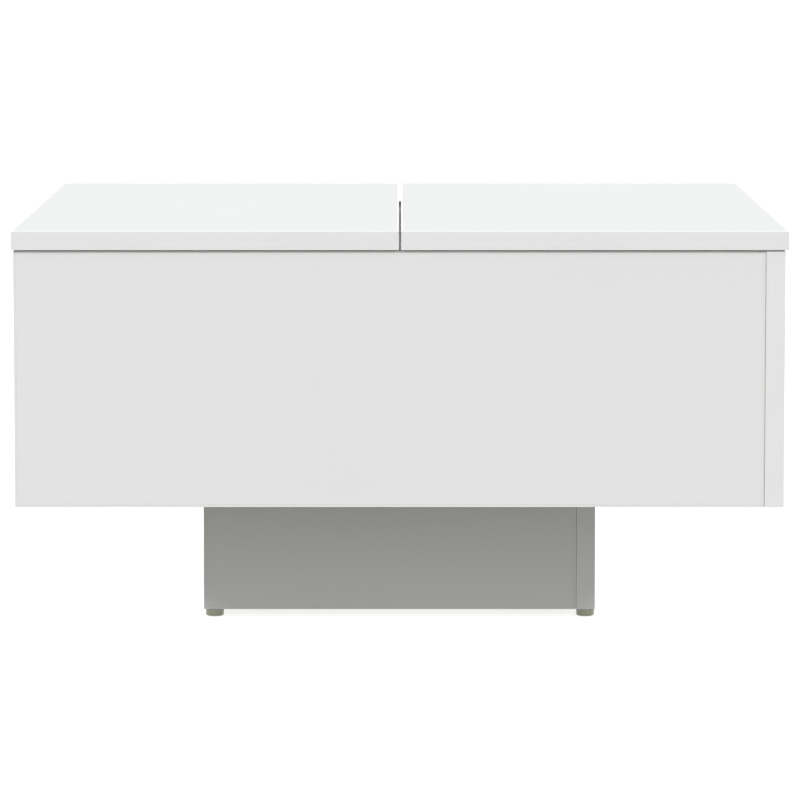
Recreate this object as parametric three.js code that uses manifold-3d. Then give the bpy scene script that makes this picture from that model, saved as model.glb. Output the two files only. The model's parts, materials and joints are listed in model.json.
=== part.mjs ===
// A low square coffee table with a two-piece lift top: a white board box on a smaller plinth. Each half
// of the top is a lid on two concealed cup hinges along its outer side. Millimetres, +Z up, front at -Y,
// origin on the floor under the middle of the table.
import * as THREE from 'three';
import { mergeVertices } from 'three/addons/utils/BufferGeometryUtils.js';
import Module from 'manifold-3d';

const wasm = await Module();
wasm.setup();

// ---- driving dimensions ----------------------------------------------------------------------------
const TOP_WIDTH = 600;
const TOP_DEPTH = 600;
const BOARD = 15; // every board of the table
const EDGE_ROUND = 1; // edge-band radius
const LID_GAP = 1.6; // open gap between the two lids
const RIM_GAP = 0.75; // shadow gap between a lid and the box's rim
const BOX_HEIGHT = 199;
const FACE_INSET = 2.5; // how far the box's faces stand in from the top's edge
const END_PROUD = 1.1; // how far a panel's visible end stands past the neighbouring face
const PLINTH_WIDTH = 314;
const PLINTH_DEPTH = 314;
const PLINTH_HEIGHT = 101;
const GLIDE_RADIUS = 7.4;
const GLIDE_HEIGHT = 6;
const DIVIDER_DROP = 2.5; // the divider's top edge stays this far under the box's rim
const SEAT_GAP = 0.2; // between faces that touch
const BORE_GAP = 0.2; // around anything seated in a bore

const CAM_RADIUS = 7.5;
const CAM_DEPTH = 11.5;
const CAM_SETBACK = 24; // cam axis from the panel's butting end
const CAM_EDGE = 35; // cam axis from the panel's top or bottom edge
const BOLT_RADIUS = 3.2;
const BOLT_THREAD = 10; // thread length in the neighbouring panel
const DOWEL_RADIUS = 4;
const DOWEL_IN_FACE = 9;
const DOWEL_IN_EDGE = 19;

const BRACKET_LEG = 22;
const BRACKET_SHEET = 2;
const BRACKET_LENGTH = 40;
const BUMPER_RADIUS = 4;
const BUMPER_SINK = 1; // recess for a bumper in the rim
const BUMPER_FROM_GAP = 18; // bumper axis from the middle of the table

// hinge section: u runs outward from the side panel's inner face, v up from the box's rim
const HINGE_FROM_END = 97.5; // hinge middle from the end of its lid
const CUP_RADIUS = 17.5;
const CUP_WALL = 1.2;
const CUP_DEPTH = 11.3;
const CUP_AXIS_U = -4;
const WING_SPAN = 26; // half length of the cup's screw wings
const ARM_PIVOT = new THREE.Vector2(-13, 6);
const CUP_PIVOT = new THREE.Vector2(9, 7);
const PIN_RADIUS = 1.2;
const EYE_RADIUS = 2.4;
const PIN_GAP = 0.12;
const LINK_HALF_WIDTH = 4.4;
const LINK_BOW = 3; // how far the link bows clear of the cup's mouth
const ARM_HALF_WIDTH = 6.5;
const ARM_SHEET = 1.5;
const ARM_FOOT = 58; // arm's lower end under the rim
const ARM_BACK = 16.5; // arm's face from the panel's inner face
const PLATE_MIDDLE = 37; // plate's middle under the rim
const PLATE_SPAN = 24; // half length of the plate's wings
const PLATE_SHEET = 2.5;

// ---- worked out from the driving dimensions ---------------------------------------------------------
const PLINTH_FOOT = GLIDE_HEIGHT;
const BOX_FOOT = PLINTH_FOOT + PLINTH_HEIGHT;
const RIM = BOX_FOOT + BOX_HEIGHT;
const LID_FOOT = RIM + RIM_GAP;
const BOX_WIDTH = TOP_WIDTH - 2 * FACE_INSET;
const BOX_DEPTH = TOP_DEPTH - 2 * FACE_INSET;
const HINGE_Y = TOP_DEPTH / 2 - HINGE_FROM_END;
const CUP_X = BOX_WIDTH / 2 - BOARD + CUP_AXIS_U;

// ---- materials ---------------------------------------------------------------------------------------
const material = (color, roughness, metalness = 0) =>
  new THREE.MeshStandardMaterial({ color, roughness, metalness });
const whiteBoard = material(0xf0f1f0, 0.45);
const zinc = material(0xb4b5b8, 0.4, 0.9);
const nickel = material(0xc9c9cc, 0.28, 1);
const beech = material(0xd2b48a, 0.7);
const glideGrey = material(0x8d8e88, 0.35);
const softClear = material(0xe4e6e4, 0.3);

// ---- joining and cutting -----------------------------------------------------------------------------
function solid(geometry) {
  const bare = geometry.clone();
  bare.deleteAttribute('normal');
  bare.deleteAttribute('uv');
  const merged = mergeVertices(bare, 1e-4);
  return new wasm.Manifold(
    new wasm.Mesh({
      numProp: 3,
      vertProperties: new Float32Array(merged.attributes.position.array),
      triVerts: new Uint32Array(merged.index.array),
    }),
  );
}

function geometryOf(manifold) {
  const mesh = manifold.getMesh();
  const geometry = new THREE.BufferGeometry();
  geometry.setAttribute('position', new THREE.BufferAttribute(mesh.vertProperties, 3));
  geometry.setIndex(new THREE.BufferAttribute(mesh.triVerts, 1));
  geometry.computeVertexNormals();
  return geometry;
}

const cut = (geometry, ...tools) =>
  geometryOf(tools.reduce((body, tool) => body.subtract(solid(tool)), solid(geometry)));
const join = (first, ...others) =>
  geometryOf(others.reduce((body, other) => body.add(solid(other)), solid(first)));

// ---- basic shapes ------------------------------------------------------------------------------------
function block(low, high) {
  const size = new THREE.Vector3().subVectors(high, low);
  const middle = new THREE.Vector3().addVectors(high, low).multiplyScalar(0.5);
  return new THREE.BoxGeometry(size.x, size.y, size.z).translate(middle.x, middle.y, middle.z);
}

const at = (x, y, z) => new THREE.Vector3(x, y, z);

// A cylinder along one axis, from one end of its middle line to the other.
function rod(radius, start, end, sides = 20) {
  const along = new THREE.Vector3().subVectors(end, start);
  const middle = new THREE.Vector3().addVectors(end, start).multiplyScalar(0.5);
  const turn = new THREE.Quaternion().setFromUnitVectors(at(0, 1, 0), along.clone().normalize());
  return new THREE.CylinderGeometry(radius, radius, along.length(), sides)
    .applyQuaternion(turn)
    .translate(middle.x, middle.y, middle.z);
}

// A board with its long edges rounded, standing (thin along Y) or lying (thin along Z).
function board(low, high, lying = false) {
  const size = new THREE.Vector3().subVectors(high, low);
  const middle = new THREE.Vector3().addVectors(high, low).multiplyScalar(0.5);
  const round = Math.min(EDGE_ROUND, BOARD / 4);
  const halfX = size.x / 2 - round;
  const halfUp = (lying ? size.y : size.z) / 2 - round;
  const face = new THREE.Shape();
  face.moveTo(-halfX, -halfUp).lineTo(halfX, -halfUp).lineTo(halfX, halfUp).lineTo(-halfX, halfUp);
  const thickness = lying ? size.z : size.y;
  const geometry = new THREE.ExtrudeGeometry(face, {
    depth: thickness - 2 * round,
    bevelThickness: round,
    bevelSize: round,
    bevelSegments: 2,
  }).translate(0, 0, round - thickness / 2);
  if (!lying) geometry.rotateX(Math.PI / 2);
  return geometry.translate(middle.x, middle.y, middle.z);
}

function mesh(name, geometry, surface) {
  const piece = new THREE.Mesh(geometry, surface);
  piece.name = name;
  return piece;
}

// ---- the four sides ----------------------------------------------------------------------------------
// Each side is built as the front is, with its face at -Y, and turned into place about Z. A panel's left
// end is the visible one; its right end butts against the next panel's inner face.
const SIDE_NAMES = ['front', 'right', 'back', 'left'];

function sidesOf(width, depth) {
  return SIDE_NAMES.map((name, index) => ({
    name,
    turn: (index * Math.PI) / 2,
    length: index % 2 === 0 ? width : depth,
    face: index % 2 === 0 ? depth / 2 : width / 2,
  }));
}

function standingPanel(side, foot, head) {
  return board(
    at(-side.length / 2 - END_PROUD, -side.face, foot),
    at(side.length / 2 - BOARD - SEAT_GAP, -side.face + BOARD, head),
  );
}

const turned = (side) => {
  const group = new THREE.Group();
  group.rotation.z = side.turn;
  return group;
};

const camHeights = { lower: BOX_FOOT + CAM_EDGE, upper: RIM - CAM_EDGE };

// The joint at a panel's butting end: cam axis, and the bolt's line from the cam into the next panel.
function camJoint(side) {
  const end = side.length / 2 - BOARD;
  const camX = end - CAM_SETBACK;
  return { camX, headRoom: camX - CAM_RADIUS / 2, end, y: -side.face + BOARD / 2, inner: -side.face + BOARD };
}

function camHousing(side, height) {
  const joint = camJoint(side);
  const housing = rod(
    CAM_RADIUS,
    at(joint.camX, joint.inner - CAM_DEPTH, height),
    at(joint.camX, joint.inner - SEAT_GAP, height),
    24,
  );
  const boltHole = rod(
    BOLT_RADIUS + BORE_GAP,
    at(joint.headRoom, joint.y, height),
    at(joint.camX + 2 * CAM_RADIUS, joint.y, height),
    16,
  );
  const slot = block(
    at(joint.camX - 3.5, joint.inner - SEAT_GAP - 1.2, height - 0.8),
    at(joint.camX + 3.5, joint.inner, height + 0.8),
  );
  return cut(housing, boltHole, slot);
}

// A bolt along +X: head in the cam, neck, shank through the panel's end and thread in the next panel.
function camBolt(side, height) {
  const joint = camJoint(side);
  const head = joint.camX - 2;
  const tip = joint.end + BOLT_THREAD;
  const profile = [
    [0, head],
    [BOLT_RADIUS, head + 0.6],
    [BOLT_RADIUS, head + 2.5],
    [BOLT_RADIUS - 1.4, head + 3.2],
    [BOLT_RADIUS - 1.4, head + 6],
    [BOLT_RADIUS - 0.6, head + 7],
    [BOLT_RADIUS - 0.6, joint.end - 1.5],
    [BOLT_RADIUS, joint.end - 1],
    [BOLT_RADIUS, tip - 2],
    [BOLT_RADIUS - 1.2, tip],
    [0, tip],
  ].map(([radius, along]) => new THREE.Vector2(radius, along));
  return new THREE.LatheGeometry(profile, 16)
    .rotateZ(-Math.PI / 2)
    .translate(0, joint.y, height);
}

const bumperRecesses = (side) =>
  [-BUMPER_FROM_GAP, BUMPER_FROM_GAP].map((x) =>
    rod(
      BUMPER_RADIUS + BORE_GAP,
      at(x, -side.face + BOARD / 2, RIM - BUMPER_SINK),
      at(x, -side.face + BOARD / 2, RIM + 1),
    ),
  );

function boxPanel(side) {
  const joint = camJoint(side);
  const bores = Object.values(camHeights).flatMap((height) => [
    rod(
      CAM_RADIUS + BORE_GAP,
      at(joint.camX, joint.inner - CAM_DEPTH - BORE_GAP, height),
      at(joint.camX, joint.inner + 1, height),
      24,
    ),
    rod(BOLT_RADIUS + BORE_GAP, at(joint.headRoom, joint.y, height), at(joint.end + 1, joint.y, height), 16),
    rod(
      BOLT_RADIUS + BORE_GAP,
      at(-side.length / 2 + BOARD / 2, joint.inner - BOLT_THREAD - BORE_GAP, height),
      at(-side.length / 2 + BOARD / 2, joint.inner + 1, height),
      16,
    ),
  ]);
  const dowelBore = rod(
    DOWEL_RADIUS + BORE_GAP,
    at(0, joint.inner - DOWEL_IN_FACE - BORE_GAP, BOX_FOOT + BOARD / 2),
    at(0, joint.inner + 1, BOX_FOOT + BOARD / 2),
    16,
  );
  const recesses = side.name === 'front' || side.name === 'back' ? bumperRecesses(side) : [];
  return cut(standingPanel(side, BOX_FOOT, RIM), ...bores, dowelBore, ...recesses);
}

function dowel(side) {
  const inner = -side.face + BOARD;
  const height = BOX_FOOT + BOARD / 2;
  return rod(DOWEL_RADIUS, at(0, inner - DOWEL_IN_FACE, height), at(0, inner + DOWEL_IN_EDGE, height), 16);
}

function bottomPanel() {
  const halfX = BOX_WIDTH / 2 - BOARD;
  const halfY = BOX_DEPTH / 2 - BOARD;
  const panel = board(
    at(-halfX + SEAT_GAP, -halfY + SEAT_GAP, BOX_FOOT),
    at(halfX - SEAT_GAP, halfY - SEAT_GAP, BOX_FOOT + BOARD),
    true,
  );
  const height = BOX_FOOT + BOARD / 2;
  const reach = DOWEL_IN_EDGE + BORE_GAP;
  const radius = DOWEL_RADIUS + BORE_GAP;
  return cut(
    panel,
    rod(radius, at(0, -halfY - 1, height), at(0, -halfY + reach, height), 16),
    rod(radius, at(0, halfY - reach, height), at(0, halfY + 1, height), 16),
    rod(radius, at(-halfX - 1, 0, height), at(-halfX + reach, 0, height), 16),
    rod(radius, at(halfX - reach, 0, height), at(halfX + 1, 0, height), 16),
  );
}

function centreDivider() {
  const halfY = BOX_DEPTH / 2 - BOARD - SEAT_GAP;
  const foot = BOX_FOOT + BOARD + SEAT_GAP;
  return board(at(-halfY, -BOARD / 2, foot), at(halfY, BOARD / 2, RIM - DIVIDER_DROP)).rotateZ(Math.PI / 2);
}

// ---- plinth --------------------------------------------------------------------------------------------
const plinthPanel = (side) => standingPanel(side, PLINTH_FOOT, BOX_FOOT - SEAT_GAP);

// An angle bracket at the middle of a plinth panel, under the bottom panel.
function plinthBracket(side) {
  const leg = new THREE.Shape();
  leg
    .moveTo(0, 0)
    .lineTo(0, -BRACKET_LEG)
    .lineTo(BRACKET_SHEET, -BRACKET_LEG)
    .lineTo(BRACKET_SHEET, -2 * BRACKET_SHEET)
    .absarc(2 * BRACKET_SHEET, -2 * BRACKET_SHEET, BRACKET_SHEET, Math.PI, Math.PI / 2, true)
    .lineTo(BRACKET_LEG, -BRACKET_SHEET)
    .lineTo(BRACKET_LEG, 0);
  return new THREE.ExtrudeGeometry(leg, { depth: BRACKET_LENGTH, bevelEnabled: false, curveSegments: 4 })
    .translate(0, 0, -BRACKET_LENGTH / 2)
    .applyMatrix4(new THREE.Matrix4().makeBasis(at(0, 1, 0), at(0, 0, 1), at(1, 0, 0)))
    .translate(0, -side.face + BOARD + SEAT_GAP, BOX_FOOT - SEAT_GAP);
}

function glide() {
  const round = GLIDE_HEIGHT / 4;
  const profile = [
    [0, 0],
    [GLIDE_RADIUS - round, 0],
    [GLIDE_RADIUS - 0.3 * round, 0.3 * round],
    [GLIDE_RADIUS, round],
    [GLIDE_RADIUS, GLIDE_HEIGHT - SEAT_GAP],
    [0, GLIDE_HEIGHT - SEAT_GAP],
  ].map(([radius, height]) => new THREE.Vector2(radius, height));
  return new THREE.LatheGeometry(profile, 28).rotateX(Math.PI / 2);
}

// ---- lids ----------------------------------------------------------------------------------------------
// The right lid; the left one is the same board turned half a turn about Z.
function lid() {
  const panel = board(
    at(LID_GAP / 2, -TOP_DEPTH / 2, LID_FOOT),
    at(TOP_WIDTH / 2, TOP_DEPTH / 2, LID_FOOT + BOARD),
    true,
  );
  const pockets = [-HINGE_Y, HINGE_Y].map((y) =>
    rod(
      CUP_RADIUS + BORE_GAP,
      at(CUP_X, y, LID_FOOT - 1),
      at(CUP_X, y, LID_FOOT + CUP_DEPTH + BORE_GAP),
      36,
    ),
  );
  return cut(panel, ...pockets);
}

// ---- concealed hinge -------------------------------------------------------------------------------------
// Its section is drawn in (u, v) and extruded along the panel; this basis stands it at the right side.
const SECTION_TO_SIDE = new THREE.Matrix4()
  .makeBasis(at(1, 0, 0), at(0, 0, 1), at(0, -1, 0))
  .setPosition(BOX_WIDTH / 2 - BOARD, 0, RIM);

function sectionSolid(shape, halfWidth, curveSegments = 8) {
  return new THREE.ExtrudeGeometry(shape, { depth: 2 * halfWidth, bevelEnabled: false, curveSegments })
    .translate(0, 0, -halfWidth);
}

const sectionBlock = (u0, v0, u1, v1, halfWidth) => block(at(u0, v0, -halfWidth), at(u1, v1, halfWidth));

const sectionPin = (pivot, radius, halfWidth, sides = 16) =>
  rod(radius, at(pivot.x, pivot.y, -halfWidth), at(pivot.x, pivot.y, halfWidth), sides);

function hingePlate() {
  const base = sectionBlock(
    -PLATE_SHEET, -PLATE_MIDDLE - 8, -SEAT_GAP, -PLATE_MIDDLE + 8, PLATE_SPAN,
  );
  const saddle = sectionBlock(
    -ARM_BACK + ARM_SHEET + SEAT_GAP, -ARM_FOOT + 3, -SEAT_GAP, -PLATE_MIDDLE + 17,
    ARM_HALF_WIDTH - ARM_SHEET - SEAT_GAP,
  );
  return join(base, saddle).applyMatrix4(SECTION_TO_SIDE);
}

function hingeArm() {
  const side = new THREE.Shape();
  side
    .moveTo(-PLATE_SHEET - SEAT_GAP, -ARM_FOOT)
    .lineTo(-PLATE_SHEET - SEAT_GAP, -16)
    .lineTo(ARM_PIVOT.x + EYE_RADIUS, -4)
    .lineTo(ARM_PIVOT.x + EYE_RADIUS, ARM_PIVOT.y)
    .absarc(ARM_PIVOT.x, ARM_PIVOT.y, EYE_RADIUS, 0, Math.PI, false)
    .lineTo(-ARM_BACK, -4)
    .lineTo(-ARM_BACK, -ARM_FOOT);
  const innerHalf = ARM_HALF_WIDTH - ARM_SHEET;
  const channel = sectionBlock(-ARM_BACK + ARM_SHEET, -ARM_FOOT - 1, 0, 0, innerHalf);
  const fork = sectionBlock(-ARM_BACK - 1, -6, 0, ARM_PIVOT.y + 2 * EYE_RADIUS, innerHalf);
  const bent = geometryOf(
    solid(sectionSolid(side, ARM_HALF_WIDTH)).subtract(solid(channel)).subtract(solid(fork)),
  );
  return join(bent, sectionPin(ARM_PIVOT, PIN_RADIUS, ARM_HALF_WIDTH - ARM_SHEET / 2)).applyMatrix4(
    SECTION_TO_SIDE,
  );
}

// The link's strip bows upward between its two eyes.
function hingeLink() {
  const middle = new THREE.Vector2().addVectors(ARM_PIVOT, CUP_PIVOT).multiplyScalar(0.5);
  const strip = new THREE.Shape();
  strip
    .moveTo(ARM_PIVOT.x, ARM_PIVOT.y + EYE_RADIUS)
    .quadraticCurveTo(middle.x, middle.y + 2 * LINK_BOW, CUP_PIVOT.x, CUP_PIVOT.y + EYE_RADIUS)
    .lineTo(CUP_PIVOT.x, CUP_PIVOT.y)
    .quadraticCurveTo(middle.x, middle.y + 1.2 * LINK_BOW, ARM_PIVOT.x, ARM_PIVOT.y);
  return cut(
    join(
      sectionSolid(strip, LINK_HALF_WIDTH, 6),
      sectionPin(ARM_PIVOT, EYE_RADIUS, LINK_HALF_WIDTH),
      sectionPin(CUP_PIVOT, EYE_RADIUS, LINK_HALF_WIDTH),
    ),
    sectionPin(ARM_PIVOT, PIN_RADIUS + PIN_GAP, 2 * LINK_HALF_WIDTH),
    sectionPin(CUP_PIVOT, PIN_RADIUS + PIN_GAP, 2 * LINK_HALF_WIDTH),
  ).applyMatrix4(SECTION_TO_SIDE);
}

// The cup is sunk in the lid; its wings lie under the lid, inside the box's rim.
function hingeCup() {
  const mouth = RIM_GAP - BORE_GAP - 0.1;
  const floor = RIM_GAP + CUP_DEPTH;
  const inside = CUP_RADIUS - CUP_WALL;
  const axis = (v) => at(CUP_AXIS_U, v, 0);
  const wall = rod(CUP_RADIUS, axis(mouth), axis(floor), 36);
  const wings = sectionBlock(-12, mouth - 0.9, -1, mouth + 0.1, WING_SPAN);
  const hollow = rod(inside, axis(mouth - 2), axis(floor - 1), 36);
  const chord = CUP_PIVOT.x + PIN_RADIUS - CUP_AXIS_U;
  const pin = sectionPin(CUP_PIVOT, PIN_RADIUS, Math.sqrt(CUP_RADIUS ** 2 - chord ** 2));
  return join(cut(join(wall, wings), hollow), pin).applyMatrix4(SECTION_TO_SIDE);
}

// ---- the table -------------------------------------------------------------------------------------------
const table = new THREE.Group();

for (const side of sidesOf(BOX_WIDTH, BOX_DEPTH)) {
  const group = turned(side);
  group.add(mesh(`${side.name}_panel`, boxPanel(side), whiteBoard));
  group.add(mesh(`bottom_dowel_${side.name}`, dowel(side), beech));
  for (const [level, height] of Object.entries(camHeights)) {
    group.add(mesh(`cam_${side.name}_${level}`, camHousing(side, height), zinc));
    group.add(mesh(`cam_bolt_${side.name}_${level}`, camBolt(side, height), zinc));
  }
  table.add(group);
}

for (const side of sidesOf(PLINTH_WIDTH, PLINTH_DEPTH)) {
  const group = turned(side);
  group.add(mesh(`plinth_${side.name}`, plinthPanel(side), whiteBoard));
  group.add(mesh(`plinth_bracket_${side.name}`, plinthBracket(side), nickel));
  table.add(group);
}

table.add(mesh('bottom_panel', bottomPanel(), whiteBoard));
table.add(mesh('centre_divider', centreDivider(), whiteBoard));

for (const [across, signX] of [['left', -1], ['right', 1]]) {
  for (const [along, signY] of [['front', -1], ['back', 1]]) {
    const foot = mesh(`glide_${along}_${across}`, glide(), glideGrey);
    foot.position.set(
      signX * (PLINTH_WIDTH / 2 - BOARD / 2),
      signY * (PLINTH_DEPTH / 2 - BOARD / 2),
      0,
    );
    table.add(foot);

    const bumper = mesh(
      `bumper_${along}_${across}`,
      rod(BUMPER_RADIUS, at(0, 0, SEAT_GAP - BUMPER_SINK), at(0, 0, RIM_GAP - SEAT_GAP / 2)),
      softClear,
    );
    bumper.position.set(signX * BUMPER_FROM_GAP, signY * (BOX_DEPTH / 2 - BOARD / 2), RIM);
    table.add(bumper);
  }

  const half = new THREE.Group();
  half.rotation.z = signX > 0 ? 0 : Math.PI;
  half.add(mesh(`${across}_lid`, lid(), whiteBoard));
  for (const [along, signY] of [['front', -1], ['back', 1]]) {
    const hinge = new THREE.Group();
    hinge.position.y = signX * signY * HINGE_Y;
    hinge.add(mesh(`hinge_plate_${across}_${along}`, hingePlate(), nickel));
    hinge.add(mesh(`hinge_arm_${across}_${along}`, hingeArm(), nickel));
    hinge.add(mesh(`hinge_link_${across}_${along}`, hingeLink(), nickel));
    hinge.add(mesh(`hinge_cup_${across}_${along}`, hingeCup(), nickel));
    half.add(hinge);
  }
  table.add(half);
}

export default table;
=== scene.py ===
# %% [markdown]
# # A white coffee table with a top that lifts in two halves
# The table is a low board box on a smaller plinth. Its top is two lids, side by side, each on two
# concealed hinges. The engineering model already holds every size, place and joint, so this lesson
# only gives each piece its finished surface: rounded edge bands, satin white faces, pressed steel
# hinges, and the light of a plain studio.

import json
import math

import bpy
from mathutils import Matrix, Vector


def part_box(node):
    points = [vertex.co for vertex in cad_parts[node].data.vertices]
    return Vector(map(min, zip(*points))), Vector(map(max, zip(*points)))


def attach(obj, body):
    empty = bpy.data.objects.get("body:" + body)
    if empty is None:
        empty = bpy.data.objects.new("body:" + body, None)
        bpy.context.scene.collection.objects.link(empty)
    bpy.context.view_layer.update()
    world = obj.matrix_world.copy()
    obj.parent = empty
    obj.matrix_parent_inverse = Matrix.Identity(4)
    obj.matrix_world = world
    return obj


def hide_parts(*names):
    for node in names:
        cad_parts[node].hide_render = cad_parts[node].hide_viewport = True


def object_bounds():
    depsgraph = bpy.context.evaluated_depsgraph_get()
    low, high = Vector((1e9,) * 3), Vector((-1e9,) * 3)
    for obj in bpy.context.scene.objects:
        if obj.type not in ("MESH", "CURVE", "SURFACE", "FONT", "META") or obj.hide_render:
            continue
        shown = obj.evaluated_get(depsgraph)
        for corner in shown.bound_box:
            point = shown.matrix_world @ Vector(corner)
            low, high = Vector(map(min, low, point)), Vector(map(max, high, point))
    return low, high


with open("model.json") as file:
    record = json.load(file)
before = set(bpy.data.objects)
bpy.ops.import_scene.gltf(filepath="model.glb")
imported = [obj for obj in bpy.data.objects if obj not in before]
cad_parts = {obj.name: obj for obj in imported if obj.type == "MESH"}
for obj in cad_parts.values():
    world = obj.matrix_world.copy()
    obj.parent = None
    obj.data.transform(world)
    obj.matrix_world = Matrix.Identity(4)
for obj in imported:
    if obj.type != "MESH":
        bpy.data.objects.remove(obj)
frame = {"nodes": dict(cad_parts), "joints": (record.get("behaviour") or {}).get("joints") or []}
cad_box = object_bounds()
MM = 0.001
TOUCH = 0.001 * MM  # two places closer than this count as one

# %% [markdown]
# ## Hand tools
# Blender's operators act on whatever is selected, so every helper starts by selecting one piece alone.
# A finished piece keeps its place in its mesh and leaves its object at the origin, unturned, so that it
# can ride on a moving body and so that its textures stay put.

# %% Selecting and settling a piece
def only(piece):
    """Select and activate one piece alone."""
    bpy.ops.object.select_all(action="DESELECT")
    piece.select_set(True)
    bpy.context.view_layer.objects.active = piece


def settle(piece):
    """Move the object's place, turn and size into its mesh."""
    only(piece)
    bpy.ops.object.transform_apply(location=True, rotation=True, scale=True)
    return piece


def named(name):
    """Give the object that an operator has just added its name."""
    piece = bpy.context.active_object
    piece.name = piece.data.name = name
    return piece


def add_block(name, low, high):
    """A rectangular block between two corners, for an edit that follows."""
    low, high = Vector(low), Vector(high)
    bpy.ops.object.select_all(action="DESELECT")
    bpy.ops.mesh.primitive_cube_add(size=1, location=(low + high) / 2, scale=high - low)
    return settle(named(name))


def add_rod(name, start, end, radius, sides=48):
    """A round bar between the middles of its two ends."""
    start, end = Vector(start), Vector(end)
    along = end - start
    bpy.ops.object.select_all(action="DESELECT")
    bpy.ops.mesh.primitive_cylinder_add(
        vertices=sides,
        radius=radius,
        depth=along.length,
        location=(start + end) / 2,
        rotation=along.to_track_quat("Z", "Y").to_euler(),
    )
    return settle(named(name))


# %% Picking edges by their place
def pick_edges(piece, test):
    """Enter edit mode with only the edges selected whose two ends pass the test."""
    only(piece)
    bpy.ops.object.mode_set(mode="EDIT")
    bpy.ops.mesh.select_mode(type="EDGE")
    bpy.ops.mesh.select_all(action="DESELECT")
    bpy.ops.object.mode_set(mode="OBJECT")
    points = piece.data.vertices
    for edge in piece.data.edges:
        first, second = (points[index].co for index in edge.vertices)
        edge.select = test(first, second)
    bpy.ops.object.mode_set(mode="EDIT")


def round_edges(piece, test, radius, segments=4):
    """Round the picked edges."""
    pick_edges(piece, test)
    bpy.ops.mesh.bevel(offset=radius, segments=segments, profile=0.5, affect="EDGES")
    bpy.ops.object.mode_set(mode="OBJECT")
    return piece


# %% Modifiers that are applied at once
def apply_modifier(piece, kind, **settings):
    """Add a modifier with these settings and apply it."""
    modifier = piece.modifiers.new(kind.lower(), kind)
    for setting, value in settings.items():
        setattr(modifier, setting, value)
    only(piece)
    bpy.ops.object.modifier_apply(modifier=modifier.name)
    return piece


def soften(piece, width, segments=2, angle=30):
    """Take the sharpness off every edge that turns by more than the angle."""
    return apply_modifier(
        piece, "BEVEL", width=width, segments=segments, limit_method="ANGLE",
        angle_limit=math.radians(angle), harden_normals=False,
    )


def shade(piece, angle=35):
    """Smooth the rounded edges, keep the real corners, and leave the flat faces truly flat."""
    only(piece)
    bpy.ops.object.shade_smooth_by_angle(angle=math.radians(angle))
    return apply_modifier(piece, "WEIGHTED_NORMAL", mode="FACE_AREA", weight=100, keep_sharp=True)


def carve(piece, tool, operation="DIFFERENCE"):
    """Cut the tool out of the piece, or join it on, and throw the tool away."""
    apply_modifier(piece, "BOOLEAN", operation=operation, object=tool, solver="EXACT")
    bpy.data.objects.remove(tool)
    return piece


# %% Outlines and copies
def add_profile(name, outline, push):
    """A solid from a ring of points, filled and pushed along a vector."""
    bpy.ops.object.select_all(action="DESELECT")
    bpy.ops.mesh.primitive_circle_add(vertices=len(outline), radius=1, fill_type="NGON")
    piece = named(name)
    for vertex, point in zip(piece.data.vertices, outline):
        vertex.co = point
    bpy.ops.object.mode_set(mode="EDIT")
    bpy.ops.mesh.select_all(action="SELECT")
    bpy.ops.mesh.extrude_region_move(TRANSFORM_OT_translate={"value": push})
    bpy.ops.mesh.select_all(action="SELECT")
    bpy.ops.mesh.normals_make_consistent(inside=False)
    bpy.ops.object.mode_set(mode="OBJECT")
    return piece


def arc(middle, radius, start, end, steps=8):
    """Points of an arc in a flat (across, up) section, its angles in degrees."""
    turns = [math.radians(start + (end - start) * step / steps) for step in range(steps + 1)]
    return [(middle[0] + radius * math.cos(turn), middle[1] + radius * math.sin(turn)) for turn in turns]


def copy_of(master, name, place=(0, 0, 0), turn=(0, 0, 0)):
    """A copy with its own mesh, turned and moved, with that place settled in the mesh."""
    only(master)
    bpy.ops.object.duplicate(linked=False)
    copy = named(name)
    copy.location, copy.rotation_euler = place, turn
    return settle(copy)


def facing(direction):
    """The turn that points a piece's +Z along a direction."""
    return Vector(direction).to_track_quat("Z", "Y").to_euler()


def finish_piece(piece, body, slot, *nodes):
    """Ride on a body and stand for the CAD nodes. The slot is not used."""
    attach(piece, body)
    if nodes:
        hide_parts(*nodes)
    return piece


# %% [markdown]
# ## Finishes
# Every finish is a short chain of nodes on Object coordinates. Those are metres here, so a noise scale of
# 1000 gives grains of about one millimetre. Roughness and bump carry the fine detail; colour hardly
# changes, as on real factory-made boards.

# %% A helper for finishes
def new_finish(name, color, roughness, metallic=0.0):
    """A Principled material with its fixed numbers set on its own sockets."""
    finish = bpy.data.materials.new(name)
    finish.use_nodes = True
    nodes, links = finish.node_tree.nodes, finish.node_tree.links
    shader = nodes["Principled BSDF"]
    shader.inputs["Base Color"].default_value = (*color, 1)
    shader.inputs["Roughness"].default_value = roughness
    shader.inputs["Metallic"].default_value = metallic
    place = nodes.new("ShaderNodeTexCoord")
    return finish, nodes, links, shader, place.outputs["Object"]


def add_noise(nodes, links, place, scale, detail=3.0, stretch=(1, 1, 1)):
    """A noise pattern on object coordinates, stretched where its grain runs one way."""
    mapping = nodes.new("ShaderNodeMapping")
    mapping.inputs["Scale"].default_value = stretch
    noise = nodes.new("ShaderNodeTexNoise")
    noise.inputs["Scale"].default_value = scale
    noise.inputs["Detail"].default_value = detail
    links.new(place, mapping.inputs["Vector"])
    links.new(mapping.outputs["Vector"], noise.inputs["Vector"])
    return noise.outputs["Fac"]


def spread(nodes, links, value, low, high):
    """Turn the middle of a noise pattern's range, where most of it lies, into a range of values."""
    ramp = nodes.new("ShaderNodeMapRange")
    ramp.inputs["From Min"].default_value = 0.3
    ramp.inputs["From Max"].default_value = 0.7
    ramp.inputs["To Min"].default_value = low
    ramp.inputs["To Max"].default_value = high
    links.new(value, ramp.inputs["Value"])
    return ramp.outputs["Result"]


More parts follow.
